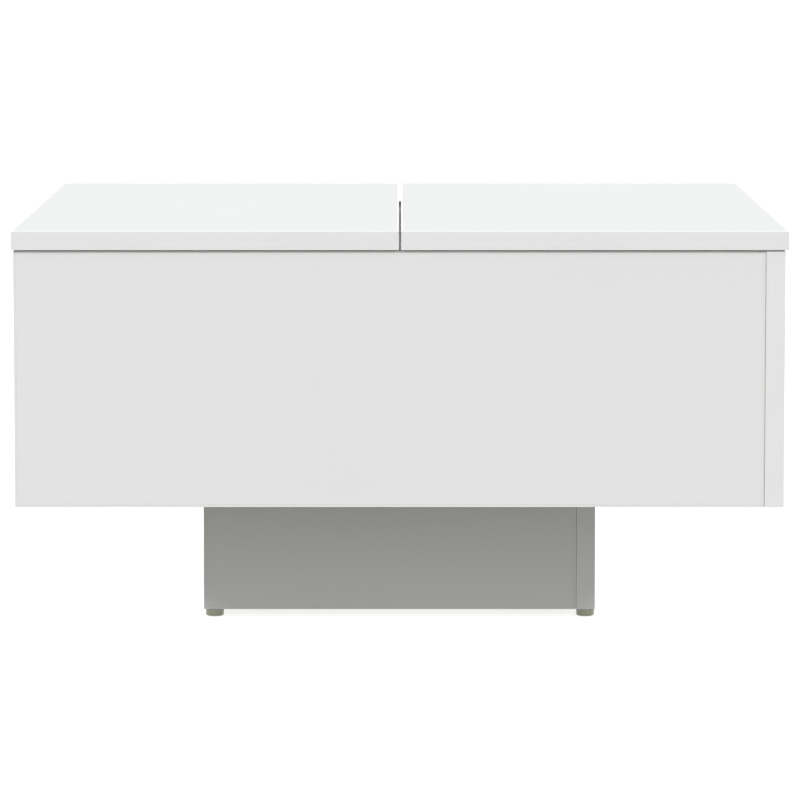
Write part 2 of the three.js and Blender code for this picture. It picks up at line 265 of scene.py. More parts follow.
def tint(nodes, links, shader, value, dark, light):
    """Let the colour drift between two close tones."""
    mix = nodes.new("ShaderNodeMix")
    mix.data_type = "RGBA"
    mix.inputs["A"].default_value = (*dark, 1)
    mix.inputs["B"].default_value = (*light, 1)
    links.new(value, mix.inputs["Factor"])
    links.new(mix.outputs["Result"], shader.inputs["Base Color"])


def raise_grain(nodes, links, shader, value, height, strength=1.0):
    """Bump, with its height in metres."""
    bump = nodes.new("ShaderNodeBump")
    bump.inputs["Strength"].default_value = strength
    bump.inputs["Distance"].default_value = height
    links.new(value, bump.inputs["Height"])
    links.new(bump.outputs["Normal"], shader.inputs["Normal"])


# %% White board faces and edge bands
WHITE_DARK = (0.793, 0.794, 0.794)
WHITE_LIGHT = (0.822, 0.823, 0.823)


def melamine_finish():
    """Satin white melamine: a pressed film with a very fine pebble and only a little sheen."""
    finish, nodes, links, shader, place = new_finish("white_melamine", (0.80, 0.802, 0.80), roughness=0.42)
    pebble = add_noise(nodes, links, place, scale=1400, detail=2)
    drift = add_noise(nodes, links, place, scale=5, detail=3)
    tint(nodes, links, shader, drift, WHITE_DARK, WHITE_LIGHT)
    links.new(spread(nodes, links, pebble, low=0.38, high=0.48), shader.inputs["Roughness"])
    raise_grain(nodes, links, shader, pebble, height=0.00004, strength=0.35)
    shader.inputs["Specular IOR Level"].default_value = 0.0
    shader.inputs["Coat Weight"].default_value = 0.05
    shader.inputs["Coat Roughness"].default_value = 0.35
    return finish


def band_finish():
    """The plastic edge band: the same white, smoother than the film, so its edges catch the light."""
    finish, nodes, links, shader, place = new_finish("white_edge_band", (0.80, 0.805, 0.80), roughness=0.3)
    grain = add_noise(nodes, links, place, scale=900, detail=2)
    drift = add_noise(nodes, links, place, scale=9, detail=2)
    tint(nodes, links, shader, drift, WHITE_DARK, WHITE_LIGHT)
    links.new(spread(nodes, links, grain, low=0.24, high=0.36), shader.inputs["Roughness"])
    raise_grain(nodes, links, shader, grain, height=0.00002, strength=0.3)
    shader.inputs["Specular IOR Level"].default_value = 0.0
    shader.inputs["Coat Weight"].default_value = 0.3
    shader.inputs["Coat Roughness"].default_value = 0.2
    return finish


MELAMINE = melamine_finish()
EDGE_BAND = band_finish()


# %% Metals, wood and plastics
def metal_finish(name, dark, light, smooth, rough, grain_scale, grain_height, stretch=(1, 1, 1)):
    """Bare or plated metal: a drift of tone, uneven polish and a fine grain."""
    finish, nodes, links, shader, place = new_finish(name, light, smooth, metallic=1.0)
    grain = add_noise(nodes, links, place, scale=grain_scale, detail=3, stretch=stretch)
    drift = add_noise(nodes, links, place, scale=60, detail=3)
    tint(nodes, links, shader, drift, dark, light)
    links.new(spread(nodes, links, grain, low=smooth, high=rough), shader.inputs["Roughness"])
    raise_grain(nodes, links, shader, grain, height=grain_height, strength=0.5)
    return finish


def beech_finish():
    """Beech dowels: pale brown wood with short darker flecks."""
    finish, nodes, links, shader, place = new_finish("beech_dowel", (0.62, 0.44, 0.27), roughness=0.6)
    fleck = add_noise(nodes, links, place, scale=500, detail=4, stretch=(1, 1, 0.2))
    tint(nodes, links, shader, fleck, (0.50, 0.34, 0.20), (0.68, 0.50, 0.32))
    links.new(spread(nodes, links, fleck, low=0.5, high=0.7), shader.inputs["Roughness"])
    raise_grain(nodes, links, shader, fleck, height=0.00008, strength=0.5)
    return finish


def glide_finish():
    """Olive-grey moulded plastic under a clear gloss that pales where it turns away."""
    finish, nodes, links, shader, place = new_finish("glide_plastic", (0.23, 0.245, 0.14), roughness=0.3)
    speck = add_noise(nodes, links, place, scale=700, detail=3)
    tint(nodes, links, shader, speck, (0.21, 0.224, 0.125), (0.25, 0.266, 0.155))
    links.new(spread(nodes, links, speck, low=0.24, high=0.36), shader.inputs["Roughness"])
    raise_grain(nodes, links, shader, speck, height=0.00003, strength=0.3)
    shader.inputs["Coat Weight"].default_value = 1.0
    shader.inputs["Coat Roughness"].default_value = 0.12
    shader.inputs["Coat IOR"].default_value = 1.7
    shader.inputs["Sheen Weight"].default_value = 0.4
    shader.inputs["Sheen Roughness"].default_value = 0.5
    shader.inputs["Sheen Tint"].default_value = (0.9, 0.92, 0.8, 1)
    return finish


def bumper_finish():
    """A soft clear stop: milky, a little see-through, with a faint haze."""
    finish, nodes, links, shader, place = new_finish("soft_clear_stop", (0.86, 0.88, 0.86), roughness=0.3)
    haze = add_noise(nodes, links, place, scale=900, detail=2)
    tint(nodes, links, shader, haze, (0.80, 0.82, 0.80), (0.90, 0.92, 0.90))
    links.new(spread(nodes, links, haze, low=0.22, high=0.38), shader.inputs["Roughness"])
    raise_grain(nodes, links, shader, haze, height=0.00002, strength=0.3)
    shader.inputs["Transmission Weight"].default_value = 0.5
    shader.inputs["IOR"].default_value = 1.45
    return finish


NICKEL = metal_finish(
    "nickel_plate", dark=(0.68, 0.67, 0.64), light=(0.74, 0.73, 0.71), smooth=0.24, rough=0.32,
    grain_scale=900, grain_height=0.000008, stretch=(1, 0.3, 1),
)
ZINC = metal_finish(
    "cast_zinc", dark=(0.46, 0.47, 0.49), light=(0.56, 0.57, 0.59), smooth=0.40, rough=0.58,
    grain_scale=1500, grain_height=0.00005,
)
BRIGHT_ZINC = metal_finish(
    "bright_zinc_screw", dark=(0.60, 0.61, 0.62), light=(0.70, 0.71, 0.72), smooth=0.24, rough=0.38,
    grain_scale=1200, grain_height=0.00002,
)
BEECH = beech_finish()
GLIDE = glide_finish()
STOP = bumper_finish()

# %% [markdown]
# ## Boards
# Each board is a core with a pressed white film on both faces and a 2 mm plastic band on each edge that
# can be seen or touched, rounded after gluing. A single bevelled block would be quicker, but it has no
# seam. Modelling the core and the bands apart gives the hairline seam and the rounded plastic edge of a
# real board. The first bands named for a board run its whole length, and the later ones stop against
# them.

# %% Board makers
BAND = 2.0 * MM
TOP_ROUND = 0.9 * MM  # the lids' outer edges
SHOWN_ROUND = 0.45 * MM  # a panel's end that shows
FOOT_ROUND = 0.35 * MM  # lower edges, and the rims under the lids
BUTT_ROUND = 0.12 * MM  # edges pressed against a neighbour
SEAM = 0.06 * MM  # between a band and the film
FILM_ROUND = 0.1 * MM  # the core's own edges
RUN = 0.1 * MM  # an edge longer than this runs along its axis
AXES = "xyz"


def slab(low, high, side, thickness):
    """The slice of a box along one side, such as "+x", and the box that is left."""
    axis = AXES.index(side[1])
    strip_low, strip_high, rest_low, rest_high = low.copy(), high.copy(), low.copy(), high.copy()
    if side[0] == "+":
        strip_low[axis] = rest_high[axis] = high[axis] - thickness
    else:
        strip_high[axis] = rest_low[axis] = low[axis] + thickness
    return strip_low, strip_high, rest_low, rest_high


def longest_axis(low, high):
    """The number of the axis that a box is longest along."""
    size = high - low
    return max(range(3), key=lambda axis: size[axis])


def make_band(name, low, high, side, radius, corners):
    """One strip of edge band with its outer edges rounded, and its two ends too if they show."""
    axis = AXES.index(side[1])
    outer = high[axis] if side[0] == "+" else low[axis]
    along = longest_axis(low, high)

    def on_outer_edge(first, second):
        on_face = abs(first[axis] - outer) < TOUCH and abs(second[axis] - outer) < TOUCH
        runs = abs(first[along] - second[along]) > RUN
        at_end = abs(first[axis] - second[axis]) > RUN
        return (on_face and (corners or runs)) or (corners and at_end)

    def low_edge(first, second):
        level = max(first.z, second.z) < low.z + TOUCH
        return level and on_outer_edge(first, second)

    strip = add_block(name, low, high)
    if axis != 2:
        round_edges(strip, low_edge, FOOT_ROUND, segments=3)
    upper = on_outer_edge if axis == 2 else upper_only(on_outer_edge, low.z)
    round_edges(strip, upper, radius, segments=5)
    strip.data.materials.append(EDGE_BAND)
    return strip


def upper_only(test, foot):
    """The same test, but not for the edges that lie at the foot."""
    return lambda first, second: test(first, second) and max(first.z, second.z) > foot + 1.5 * FOOT_ROUND


def make_board(node, sides, body, bores=()):
    """A finished board in place of a CAD board: a core, and a band on each side named with its rounding.

    A bore is its two ends and its radius, and goes through the core and the bands that it meets."""
    low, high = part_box(node)
    pieces = []
    for index, (side, radius) in enumerate(sides):
        strip_low, strip_high, low, high = slab(low, high, side, BAND)
        name = f"{node}_band_{'low' if side[0] == '-' else 'high'}_{side[1]}"
        pieces.append(make_band(name, strip_low, strip_high, side, radius, corners=index < 2))
    gap = Vector((SEAM, SEAM, SEAM))
    thin = min(range(3), key=lambda axis: (high - low)[axis])
    gap[thin] = 0
    core = add_block(f"{node}_board", low + gap, high - gap)
    core.data.materials.append(MELAMINE)
    soften(core, FILM_ROUND)
    pieces.append(core)
    for start, end, radius in bores:
        for piece in pieces:
            if bore_meets(piece, start, end, radius):
                carve(piece, add_rod("bore", start, end, radius, sides=64))
    for piece in pieces:
        finish_piece(shade(piece), body, "white_board")
    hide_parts(node)
    return core


def bore_meets(piece, start, end, radius):
    """Whether a bore's box overlaps a piece's box."""
    reach = Vector((radius, radius, radius))
    low = Vector(map(min, start, end)) - reach
    high = Vector(map(max, start, end)) + reach
    for axis in range(3):
        places = [vertex.co[axis] for vertex in piece.data.vertices]
        if min(places) >= high[axis] or max(places) <= low[axis]:
            return False
    return True


# %% [markdown]
# The four box panels chase each other round like a pinwheel: each has one end that shows and one that
# butts against its neighbour. The two ends get the full-height bands, and the end that shows is rounded
# more. Each panel is bored on its inner face for two cams, and the front and back ones are recessed for
# the lids' soft stops. The bores are read from the pieces that sit in them, so they always fit.

# %% Bores, read from the pieces that sit in them
ENDS = {"front": ("-x", "+x"), "right": ("-y", "+y"), "back": ("+x", "-x"), "left": ("+y", "-y")}
INWARD = {"front": Vector((0, 1, 0)), "right": Vector((-1, 0, 0)),
          "back": Vector((0, -1, 0)), "left": Vector((1, 0, 0))}
BORE_GAP = 0.2 * MM  # around a piece that sits in a bore
OVER_RIM = 10 * MM  # how far a recess's cutter stands out of the rim
UNDER_LID = 3 * MM  # how far a pocket's cutter stands out of the lid


def middle_of(node):
    """The middle of a node's box."""
    low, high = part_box(node)
    return (low + high) / 2


def cam_bores(side):
    """Two blind bores, each around a cam and open to the inside of the box."""
    bores = []
    for level in ("lower", "upper"):
        low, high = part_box(f"cam_{side}_{level}")
        middle, inward = middle_of(f"cam_{side}_{level}"), INWARD[side]
        depth = abs((high - low).dot(inward))
        radius = (high - low).z / 2 + BORE_GAP
        bores.append((middle - inward * (depth / 2 + BORE_GAP), middle + inward * depth, radius))
    return bores


def stop_bores(side):
    """Recesses in the rim for the soft stops."""
    bores = []
    for half in ("left", "right"):
        low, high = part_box(f"bumper_{side}_{half}")
        middle = middle_of(f"bumper_{side}_{half}")
        foot = Vector((middle.x, middle.y, low.z - BORE_GAP))
        bores.append((foot, foot + Vector((0, 0, OVER_RIM)), (high - low).x / 2 + BORE_GAP))
    return bores


def cup_bores(half):
    """Pockets under a lid for its two hinge cups."""
    bores = []
    for along in ("front", "back"):
        low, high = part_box(f"hinge_cup_{half}_{along}")
        middle = (low + high) / 2
        foot = Vector((middle.x, middle.y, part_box(f"{half}_lid")[0].z - UNDER_LID))
        top = Vector((middle.x, middle.y, high.z + BORE_GAP))
        bores.append((foot, top, (high - low).x / 2 + BORE_GAP))
    return bores


# %% Box, plinth and divider
for place, (shown_end, butting_end) in ENDS.items():
    bores = cam_bores(place)
    if place in ("front", "back"):
        bores += stop_bores(place)
    sides = [(shown_end, SHOWN_ROUND), (butting_end, BUTT_ROUND), ("+z", FOOT_ROUND), ("-z", FOOT_ROUND)]
    make_board(f"{place}_panel", sides, "carcass", bores)
    sides = [(shown_end, SHOWN_ROUND), (butting_end, BUTT_ROUND), ("-z", FOOT_ROUND)]
    make_board(f"plinth_{place}", sides, "carcass")
make_board("centre_divider", [("+z", FOOT_ROUND)], "carcass")
make_board("bottom_panel", [], "carcass")

# %% [markdown]
# The lids are boards too, with a band on all four sides. Their outer edges are rounded the most, because
# hands and knees meet them, and the two edges at the middle gap stay crisp.

# %% Lids
for half in ("left", "right"):
    gap_side = "+x" if half == "left" else "-x"
    sides = [(side, SHOWN_ROUND if side == gap_side else TOP_ROUND) for side in ("-x", "+x", "-y", "+y")]
    make_board(f"{half}_lid", sides, f"{half}_top", cup_bores(half))

# %% [markdown]
# ## Concealed hinges
# Each lid turns on two hinges. A pressed cup is sunk in the lid, a short bowed link joins it to an arm,
# and the arm is screwed to a plate inside the box. One hinge is drawn in its own section, with "out"
# measured from the inner face of the side panel and "up" from the rim, and copied to the four places.
# The two pins come from the joints, so the drawn hinge turns exactly where the table does.

# %% The hinge's own frame
INNER_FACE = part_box("right_panel")[0].x
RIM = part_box("right_panel")[1].z
joints = {joint["name"]: Vector(joint["pos_m"]) for joint in frame["joints"]}


def in_section(point):
    """(out, up) of a point at the right side."""
    return point.x - INNER_FACE, point.z - RIM


ARM_PIN = in_section(joints["right_link_swing"])
CUP_PIN = in_section(joints["right_lid_lift"])
PIN_RADIUS = 1.2 * MM
PIN_EDGE = 0.3 * MM


def local_box(node):
    """A hinge node's box in the hinge's own frame."""
    low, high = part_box(node)
    middle = middle_of("hinge_plate_right_front").y
    shift = Vector((INNER_FACE, middle, RIM))
    return low - shift, high - shift


def section_solid(name, outline, half_width):
    """An outline of (out, up) points, given a width along the side panel."""
    ring = [Vector((out, -half_width, up)) for out, up in outline]
    return add_profile(name, ring, (0, 2 * half_width, 0))


def section_block(name, out_low, up_low, out_high, up_high, half_width):
    """A block between two (out, up) corners."""
    return add_block(name, (out_low, -half_width, up_low), (out_high, half_width, up_high))


def section_rod(name, pivot, radius, half_width, sides=32):
    """A round bar through an (out, up) point."""
    out, up = pivot
    return add_rod(name, (out, -half_width, up), (out, half_width, up), radius, sides)


# %% [markdown]
# All the screws have the same head, in two sizes: a short bar with its top edge rounded into a dome and
# two crossed slots cut in it. It is modelled facing +Z, and each copy is turned to its own direction.

# %% A cross-head screw, to be copied
BEND = 40  # degrees; small metal parts are sharp only where they turn by more
HEAD_ROOT = 0.4 * MM  # how far a head reaches into what it holds
DOME_SHARE = 0.7  # of the head's height
CROSS_REACH = 0.62  # of the head's radius
CROSS_FLOOR = 0.25  # of the head's height


def make_screw(name, radius, height, cross):
    """A domed head with a cross recess, each slot as wide as twice the cross value."""
    head = add_rod(name, (0, 0, -HEAD_ROOT), (0, 0, height), radius, sides=40)
    round_edges(head, lambda first, second: min(first.z, second.z) > height - TOUCH, height * DOME_SHARE)
    reach = radius * CROSS_REACH
    for across, along in ((cross, reach), (reach, cross)):
        slot = add_block("cross", (-across, -along, height * CROSS_FLOOR), (across, along, height * 2))
        carve(head, slot)
    head.data.materials.append(BRIGHT_ZINC)
    return shade(head, BEND)


LARGE_SCREW = make_screw("screw_master_large", radius=3.6 * MM, height=1.5 * MM, cross=0.5 * MM)
SMALL_SCREW = make_screw("screw_master_small", radius=2.9 * MM, height=1.1 * MM, cross=0.42 * MM)

# %% [markdown]
# The cup is a deep-drawn bowl, so every edge of it is a soft bend: it starts as a cylinder, its mouth is
# inset and pushed up to hollow it, and its edges are rounded. Two screw wings are joined across its
# mouth and then cleared from the hollow.

# %% Cup
CUP_WALL = 1.2 * MM
CUP_FLOOR = 1.0 * MM
CUP_BEND = 1.6 * MM  # outside, between wall and floor
CUP_INNER_BEND = 1.2 * MM
MOUTH_LAP = 0.1 * MM  # the bowl and the wings share this depth
MOUTH_LIP = 0.25 * MM  # left standing inside the wall
WING_SHEET = 1.0 * MM
WING_HALF_DEPTH = 5.5 * MM
WING_MIDDLE = 15 * MM  # from the cup's inner side
WING_ROUND = 4.6 * MM
WING_HOLE = 2.1 * MM
SCREW_FROM_AXIS = 21.6 * MM
PIN_SHORT = 0.2 * MM  # a pin stops this far inside the cup's outline
CUP_EDGE = 0.15 * MM


def pick_faces(piece, test):
    """Enter edit mode with only the faces selected whose middle and normal pass the test."""
    only(piece)
    bpy.ops.object.mode_set(mode="EDIT")
    bpy.ops.mesh.select_mode(type="FACE")
    bpy.ops.mesh.select_all(action="DESELECT")
    bpy.ops.object.mode_set(mode="OBJECT")
    for face in piece.data.polygons:
        face.select = test(face.center, face.normal)
    bpy.ops.object.mode_set(mode="EDIT")


def make_bowl(axis, radius, mouth, top):
    """The hollow bowl, open downwards, with soft bends."""
    bowl = add_rod("hinge_cup_master", (axis, 0, mouth), (axis, 0, top), radius, sides=72)
    pick_faces(bowl, lambda middle, normal: normal.z < -0.9)
    bpy.ops.mesh.inset(thickness=CUP_WALL)
    bpy.ops.mesh.extrude_region_move(
        TRANSFORM_OT_translate={"value": (0, 0, top - mouth - CUP_FLOOR)}
    )
    bpy.ops.object.mode_set(mode="OBJECT")
    round_edges(bowl, lambda first, second: min(first.z, second.z) > top - TOUCH, CUP_BEND)
    floor = top - CUP_FLOOR

    def at_inner_floor(first, second):
        return max(abs(first.z - floor), abs(second.z - floor)) < TOUCH

    return round_edges(bowl, at_inner_floor, CUP_INNER_BEND)


def make_cup():
    """The bowl with its two screw wings, its pin, and the places and directions of its screws."""
    low, high = local_box("hinge_cup_right_front")
    axis, radius = (low.x + high.x) / 2, (high.x - low.x) / 2
    mouth = low.z + WING_SHEET - MOUTH_LAP
    cup = make_bowl(axis, radius, mouth, high.z)
    wing_middle = low.x + WING_MIDDLE
    wings = add_block(
        "wings",
        (wing_middle - WING_HALF_DEPTH, low.y, low.z),
        (wing_middle + WING_HALF_DEPTH, high.y, low.z + WING_SHEET),
    )
    round_edges(wings, lambda first, second: abs(first.z - second.z) > WING_SHEET / 2, WING_ROUND, 8)
    carve(cup, wings, "UNION")
    opening = radius - CUP_WALL - MOUTH_LIP
    carve(cup, add_rod("mouth", (axis, 0, low.z - MM), (axis, 0, mouth + 2 * MM), opening, sides=72))
    for side in (-1, 1):
        along = side * SCREW_FROM_AXIS
        hole = add_rod("hole", (wing_middle, along, -2 * MM), (wing_middle, along, 2 * MM), WING_HOLE, 32)
        carve(cup, hole)
    soften(cup, CUP_EDGE, angle=BEND)
    cup.data.materials.append(NICKEL)
    shade(cup, BEND)
    chord = CUP_PIN[0] + PIN_RADIUS - axis
    half_pin = math.sqrt(radius**2 - chord**2) - PIN_SHORT
    pin = section_rod("hinge_cup_pin_master", CUP_PIN, PIN_RADIUS, half_pin)
    pin.data.materials.append(NICKEL)
    down = Vector((0, 0, -1))
    screws = [(Vector((wing_middle, side * SCREW_FROM_AXIS, low.z)), down) for side in (-1, 1)]
    return cup, shade(pin), screws


CUP, CUP_PIN_ROD, CUP_SCREWS = make_cup()
print("cup:", len(CUP.data.polygons), "faces")

# %% [markdown]
# The link is a thick pressed strip that bows up to clear the cup's mouth, with a rolled eye at each end.

# %% Link
EYE_RADIUS = 2.4 * MM
LINK_HALF_WIDTH = 4.4 * MM
LINK_BOW = 3 * MM
UPPER_PULL = 2.0 * LINK_BOW  # how far the top outline's control point stands above the pins
LOWER_PULL = 1.2 * LINK_BOW
PIN_PLAY = 0.12 * MM
LINK_EDGE = 0.25 * MM


def bow(start, control, end, steps=12):
    """Points of a smooth bow from start to end, pulled towards the control point."""
    shares = [step / steps for step in range(steps + 1)]
    return [
        tuple((1 - t) ** 2 * start[i] + 2 * t * (1 - t) * control[i] + t * t * end[i] for i in (0, 1))
        for t in shares
    ]


def make_link():
    """The bowed strip with an eye on each pin."""
    middle = ((ARM_PIN[0] + CUP_PIN[0]) / 2, (ARM_PIN[1] + CUP_PIN[1]) / 2)
    upper = bow(
        (ARM_PIN[0], ARM_PIN[1] + EYE_RADIUS),
        (middle[0], middle[1] + UPPER_PULL),
        (CUP_PIN[0], CUP_PIN[1] + EYE_RADIUS),
    )
    lower = bow(CUP_PIN, (middle[0], middle[1] + LOWER_PULL), ARM_PIN)
    link = section_solid("hinge_link_master", upper + lower, LINK_HALF_WIDTH)
    for pivot in (ARM_PIN, CUP_PIN):
        carve(link, section_rod("eye", pivot, EYE_RADIUS, LINK_HALF_WIDTH), "UNION")
    for pivot in (ARM_PIN, CUP_PIN):
        carve(link, section_rod("pin_hole", pivot, PIN_RADIUS + PIN_PLAY, 2 * LINK_HALF_WIDTH))
    soften(link, LINK_EDGE, angle=BEND)
    link.data.materials.append(NICKEL)
    return shade(link, BEND)


LINK = make_link()

# %% [markdown]
# The arm is sheet steel folded into a channel, open towards the panel. It narrows to a fork at the top
# that holds the link's pin, and two screws on its back set the lid's place. It starts from its outline
# in the hinge's section, because that is where its shape is. The folded edges are rounded afterwards,
# and the channel, the fork and the slot are cut out.

# %% Arm
ARM_SHEET = 1.5 * MM
ARM_ROUND = 3 * MM  # the channel's two lower corners
ARM_BEND = 1.1 * MM  # along its folded edges
ARM_SCREWS_UP = (-28 * MM, -47 * MM)
NECK_UP = -4 * MM  # the fork's sides start to narrow here
SHOULDER_UP = -16 * MM
FORK_UP = -6 * MM  # the slot between the fork's sides starts here
SLOT_HALF_WIDTH = 1.6 * MM
SLOT_BELOW, SLOT_ABOVE = 7 * MM, 3 * MM  # from the lower screw
FOLD_LENGTH = 5 * MM  # a folded edge is longer than this
ARM_EDGE = 0.18 * MM
PIN_OUT = 0.4 * MM  # how far the pin's ends stand out of the fork


def arm_outline(back, foot, front, eye):
    """The arm from the side: an eye around the link's pin, a neck, and a foot with round corners."""
    outline = [(front, SHOULDER_UP), (ARM_PIN[0] + eye, NECK_UP)]
    outline += arc(ARM_PIN, eye, 0, 180, 12)
    outline += [(back, NECK_UP)]
    outline += arc((back + ARM_ROUND, foot + ARM_ROUND), ARM_ROUND, 180, 270, 6)
    outline += arc((front - ARM_ROUND, foot + ARM_ROUND), ARM_ROUND, 270, 360, 6)
    return outline


def make_arm():
    """The channel with its fork and slot, the link's pin, and its screws' places and directions."""
    low, high = local_box("hinge_arm_right_front")
    back, foot, half_width = low.x, low.z, high.y
    inner = half_width - ARM_SHEET
    outline = arm_outline(back, foot, high.x, high.z - ARM_PIN[1])
    arm = section_solid("hinge_arm_master", outline, half_width)

    def folded_edge(first, second):
        on_back = max(first.x, second.x) < back + TOUCH
        on_side = abs(abs(first.y) - half_width) < TOUCH
        return on_back and on_side and abs(first.z - second.z) > FOLD_LENGTH

    round_edges(arm, folded_edge, ARM_BEND, segments=5)
    carve(arm, section_block("channel", back + ARM_SHEET, foot - MM, MM, 0, inner))
    carve(arm, section_block("fork", back - MM, FORK_UP, MM, high.z + 3 * MM, inner))
    slot_low, slot_high = ARM_SCREWS_UP[1] - SLOT_BELOW, ARM_SCREWS_UP[1] + SLOT_ABOVE
    slot_floor = back + ARM_SHEET + 0.1 * MM
    carve(arm, section_block("slot", back - MM, slot_low, slot_floor, slot_high, SLOT_HALF_WIDTH))
    soften(arm, ARM_EDGE, angle=BEND)
    arm.data.materials.append(NICKEL)
    pin = section_rod("hinge_arm_pin_master", ARM_PIN, PIN_RADIUS, half_width + PIN_OUT)
    soften(pin, PIN_EDGE)
    pin.data.materials.append(NICKEL)
    screws = [(Vector((back, 0, up)), Vector((-1, 0, 0))) for up in ARM_SCREWS_UP]
    return shade(arm, BEND), shade(pin, BEND), screws


# %% [markdown]
# The plate is a cross that is screwed to the side panel: two screw wings, and a raised saddle that the
# arm covers. Each is a plain block with rounded corners, and the two are joined into one piece.

# %% Plate
PLATE_SHEET = 2.5 * MM
PLATE_WING_UP = -37 * MM  # the middle of its screw wings
PLATE_WING_HALF = 8 * MM
PLATE_WING_ROUND = 4 * MM
PLATE_SCREW_INSET = 7 * MM  # from the end of a wing
SADDLE_HALF_WIDTH = 4.8 * MM
SADDLE_ROUND = 1.5 * MM
PLATE_EDGE = 0.25 * MM


def make_plate():
    """The plate with its raised saddle, and its screws' places and directions."""
    low, high = local_box("hinge_plate_right_front")
    span, face = high.y, high.x - PLATE_SHEET
    wing_low, wing_high = PLATE_WING_UP - PLATE_WING_HALF, PLATE_WING_UP + PLATE_WING_HALF
    plate = section_block("hinge_plate_master", face, wing_low, high.x, wing_high, span)
    round_edges(plate, lambda first, second: abs(first.x - second.x) > MM, PLATE_WING_ROUND, 6)
    saddle = section_block("saddle", low.x, low.z, high.x, high.z, SADDLE_HALF_WIDTH)

    def saddle_end(first, second):
        return abs(first.y - second.y) > MM and first.x < low.x + MM

    round_edges(saddle, saddle_end, SADDLE_ROUND)
    carve(plate, saddle, "UNION")
    soften(plate, PLATE_EDGE, angle=BEND)
    plate.data.materials.append(NICKEL)
    along = span - PLATE_SCREW_INSET
    screws = [(Vector((face, side * along, PLATE_WING_UP)), Vector((-1, 0, 0))) for side in (-1, 1)]
    return shade(plate, BEND), screws


ARM, ARM_PIN_ROD, ARM_SCREWS = make_arm()
PLATE, PLATE_SCREWS = make_plate()
print("arm:", len(ARM.data.polygons), "faces; plate:", len(PLATE.data.polygons), "faces")


# %% [markdown]
# One hinge is now complete at the right side. The other three are copies, each with its own mesh: moved
# along the side panel, or turned half round for the left side.

# %% The four hinges
def place_hinge(half, along):
    """Copy the hinge to one place; at the left side it is turned half round."""
    tag = f"{half}_{along}"
    side = 1 if half == "right" else -1
    place = Vector((side * INNER_FACE, middle_of(f"hinge_plate_{tag}").y, RIM))
    turn = (0, 0, 0 if side > 0 else math.pi)

    def put(master, name, body, *nodes):
        return finish_piece(copy_of(master, f"{name}_{tag}", place, turn), body, "steel", *nodes)

    def put_screws(spots, master, name, body):
        for number, (spot, direction) in enumerate(spots, 1):
            flip = Vector((side, side, 1))
            where, way = place + spot * flip, direction * flip
            screw = copy_of(master, f"{name}_{number}_{tag}", where, facing(way))
            finish_piece(screw, body, "zinc")

    put(CUP, "cup", f"{half}_top", f"hinge_cup_{tag}")
    put(CUP_PIN_ROD, "cup_pin", f"{half}_top")
    put(LINK, "link", f"{half}_links", f"hinge_link_{tag}")
    put(ARM, "arm", "carcass", f"hinge_arm_{tag}")
    put(ARM_PIN_ROD, "arm_pin", "carcass")
    put(PLATE, "plate", "carcass", f"hinge_plate_{tag}")
    put_screws(CUP_SCREWS, SMALL_SCREW, "cup_screw", f"{half}_top")
    put_screws(ARM_SCREWS, SMALL_SCREW, "arm_screw", "carcass")
    put_screws(PLATE_SCREWS, LARGE_SCREW, "plate_screw", "carcass")


for half in ("left", "right"):
    for along in ("front", "back"):
        place_hinge(half, along)

# %% [markdown]
# ## Corner joints and small parts
# Inside the box, each butting end is pulled tight by two cams: a cast zinc drum in a bore, with a cross
# recess for the screwdriver. Under the table, four angle brackets tie the plinth to the bottom panel.

# %% Cams
CAM_RIM = 1.1 * MM
CAM_DISH = 0.5 * MM
CROSS_LONG, CROSS_SHORT, CROSS_DEEP = 4 * MM, 0.8 * MM, 2.4 * MM
BOLT_WAY_DEEP = 7.3 * MM  # the bolt's line below the cam's face
BOLT_WAY_RADIUS = 3.4 * MM
BOLT_WAY_BEHIND = 3 * MM  # how far the way runs past the cam's axis
CAM_EDGE = 0.2 * MM


def make_cam():
    """A cam drum whose face looks along +Y, with its face at the origin."""
    low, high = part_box("cam_front_lower")
    radius, depth = (high - low).z / 2, (high - low).y
    cam = add_rod("cam_master", (0, -depth, 0), (0, 0, 0), radius, sides=56)
    pick_faces(cam, lambda middle, normal: normal.y > 0.9)
    bpy.ops.mesh.inset(thickness=CAM_RIM)
    bpy.ops.mesh.extrude_region_move(TRANSFORM_OT_translate={"value": (0, -CAM_DISH, 0)})
    bpy.ops.object.mode_set(mode="OBJECT")
    for across, up in ((CROSS_LONG, CROSS_SHORT), (CROSS_SHORT, CROSS_LONG)):
        carve(cam, add_block("cross", (-across, -CROSS_DEEP, -up), (across, MM, up)))
    way_start, way_end = (-BOLT_WAY_BEHIND, -BOLT_WAY_DEEP, 0), (2 * radius, -BOLT_WAY_DEEP, 0)
    carve(cam, add_rod("bolt_way", way_start, way_end, BOLT_WAY_RADIUS, sides=32))
    soften(cam, CAM_EDGE, angle=BEND)
    cam.data.materials.append(ZINC)
    return shade(cam, BEND)


CAM = make_cam()
TURNS = {"front": 0, "right": math.pi / 2, "back": math.pi, "left": -math.pi / 2}
for side, turn in TURNS.items():
    for level in ("lower", "upper"):
        node = f"cam_{side}_{level}"
        low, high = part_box(node)
        depth = abs((high - low).dot(INWARD[side]))
        place = middle_of(node) + INWARD[side] * depth / 2
        finish_piece(copy_of(CAM, f"drum_{side}_{level}", place, (0, 0, turn)), "carcass", "zinc", node)

# %% [markdown]
# The bolts and dowels are hidden in the boards. Their CAD shapes are right as they stand, so they only
# get a finish.

# %% Bolts and dowels keep their CAD shapes
for name, node in frame["nodes"].items():
    if name.startswith("cam_bolt_"):
        node.data.materials.clear()
        node.data.materials.append(BRIGHT_ZINC)
    if name.startswith("bottom_dowel_"):
        node.data.materials.clear()
        node.data.materials.append(BEECH)


# %% [markdown]
# A plinth bracket is a strip of sheet steel bent to a right angle. Its outline is drawn with two arcs for
# the bend and pushed to the strip's width, and each leg gets two screws.

